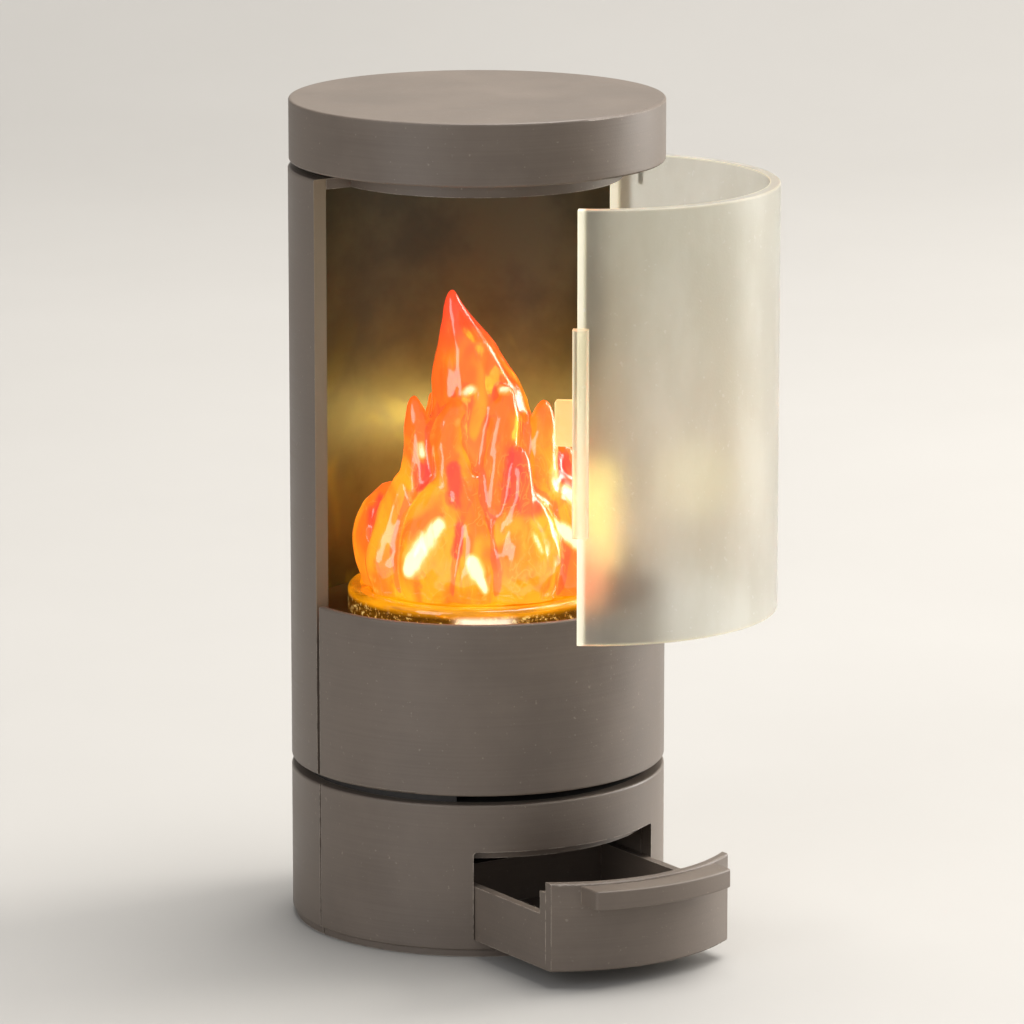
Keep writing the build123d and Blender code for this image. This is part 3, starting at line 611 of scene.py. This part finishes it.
# ---------------------------------------------------------------- CAD finishes
def dress_nodes():
    """Give each CAD node its slot's finish, or its own version of it; a mesh replaces the CAD flame."""
    body = paint("body_paint")
    shaded_inside = paint("body_paint_shaded_inside", inside=True)
    dark = plain("dark_plastic", rgb(0.030, 0.027, 0.024), rgb(0.045, 0.040, 0.036), 0.55)
    black = plain("black_plastic", rgb(0.012, 0.012, 0.012), rgb(0.022, 0.022, 0.022), 0.28)
    steel = plain("steel", rgb(0.42, 0.41, 0.39), rgb(0.60, 0.59, 0.57), 0.24, 1.0)
    nickel = plain("cell_steel", rgb(0.62, 0.61, 0.58), rgb(0.75, 0.74, 0.71), 0.18, 1.0)
    brass = plain("contact_metal", rgb(0.66, 0.48, 0.20), rgb(0.78, 0.60, 0.30), 0.25, 1.0)
    board = plain("circuit_board", rgb(0.02, 0.12, 0.04), rgb(0.03, 0.17, 0.06), 0.35)
    hearth = plain("floor_paint", FLOOR_BROWN, rgb(0.11, 0.08, 0.055), 0.50)
    lens = plain("led_lens", rgb(0.95, 0.75, 0.25), rgb(1.0, 0.85, 0.4), 0.12)
    door = frosted("frosted_clear", DOOR_RIM, 1.0)
    handle = frosted("frosted_handle", HANDLE_RIM, 0.0)
    finishes = {
        "body_paint": body, "floor_paint": hearth, "frosted_clear": door, "amber_clear": amber(),
        "flame_resin": body, "dark_plastic": dark, "black_plastic": black, "steel": steel,
        "cell_steel": nickel, "contact_metal": brass, "circuit_board": board, "led_lens": lens,
    }
    special = {"back_shell": shaded_inside, "door_handle": handle}
    slots = {row["node"]: row["material_slot"] for row in frame["record"]["subparts"]}
    for name, obj in nodes.items():
        obj.data.materials.clear()
        obj.data.materials.append(special.get(name, finishes[slots[name]]))


# ---------------------------------------------------------------- stage and lights
def make_stage():
    """A pale floor that curves up into a pale backdrop."""
    turn = math.radians(VIEW_AZIMUTH)
    away = Vector((-math.sin(turn), math.cos(turn), 0))
    side = Vector((math.cos(turn), math.sin(turn), 0))
    half_width, near, far, bend, tall = 2.5, -1.8, 0.55, 0.35, 2.2
    profile = [(near, 0.0), (far, 0.0)]
    profile += [(far + bend * math.sin(a), bend - bend * math.cos(a))
                for a in (math.radians(d) for d in range(6, 91, 6))]
    profile.append((far + bend, tall))
    mesh = bpy.data.meshes.new("floor")
    build = bmesh.new()
    rows = []
    for reach, up in profile:
        middle = away * reach + Vector((0, 0, up))
        rows.append([build.verts.new(middle + side * w) for w in (-half_width, half_width)])
    for lower, upper in zip(rows, rows[1:]):
        build.faces.new((lower[0], lower[1], upper[1], upper[0]))
    build.to_mesh(mesh)
    build.free()
    floor = bpy.data.objects.new("floor", mesh)
    bpy.context.scene.collection.objects.link(floor)
    for face in mesh.polygons:
        face.use_smooth = True
    s = Shader("pale_floor")
    cloud = s.noise(s.place(), 9.0, 4.0, 0.6)
    s.set(Base_Color=s.mix(cloud, rgb(0.42, 0.405, 0.38), rgb(0.465, 0.45, 0.425)), Roughness=0.62)
    mesh.materials.append(s.material)


def area_light(name, across, towards, up, size, power, colour, aim=(0, 0, 0.05)):
    """A soft box placed in metres across the view, towards the viewer and up."""
    data = bpy.data.lights.new(name, "AREA")
    data.shape = "RECTANGLE"
    data.size, data.size_y = size
    data.energy = power
    data.color = colour
    light = bpy.data.objects.new(name, data)
    bpy.context.scene.collection.objects.link(light)
    light.location = seen_from_front(across, towards, up) / MM
    light.rotation_euler = (Vector(aim) - light.location).to_track_quat("-Z", "Y").to_euler()


def point_light(name, place, power, colour, radius):
    """A small lamp of a radius in metres."""
    data = bpy.data.lights.new(name, "POINT")
    data.energy = power
    data.color = colour
    data.shadow_soft_size = radius
    light = bpy.data.objects.new(name, data)
    bpy.context.scene.collection.objects.link(light)
    light.location = place


def make_lights():
    """Soft boxes on the stove, a lamp behind the flame, and lamps that glow through the door."""
    area_light("top_box", 0.20, -0.15, 0.80, (0.7, 0.7), 11.4, (1.0, 0.98, 0.95))
    area_light("right_box", 0.82, -0.36, 0.30, (0.35, 0.6), 9.4, (1.0, 0.97, 0.93))
    area_light("left_box", -0.55, 0.65, 0.30, (0.4, 0.6), 2.2, (0.97, 0.98, 1.0))
    point_light("fire_glow", seen_from_front(-2.0, -12.5, 52.0), 0.0054, (1.0, 0.80, 0.22), 2.0 * MM)
    for up in (42.5, 46.5, 50.5):
        point_light("lamp_glow", seen_from_front(13.3, 5.0, up), 0.00029, (1.0, 0.84, 0.22), 2.4 * MM)
    point_light("door_glow", seen_from_front(24.5, 2.0, 50.0), 0.0002, (1.0, 0.95, 0.45), 4.5 * MM)
    world = bpy.data.worlds.new("studio")
    bpy.context.scene.world = world
    world.use_nodes = True
    back = world.node_tree.nodes["Background"]
    back.inputs["Color"].default_value = rgb(0.93, 0.95, 1.0)
    back.inputs["Strength"].default_value = 0.34


# ---------------------------------------------------------------- make it all
make_camera()
dress_nodes()
make_flame()
make_stage()
make_lights()
bpy.context.scene.view_settings.view_transform = "Standard"
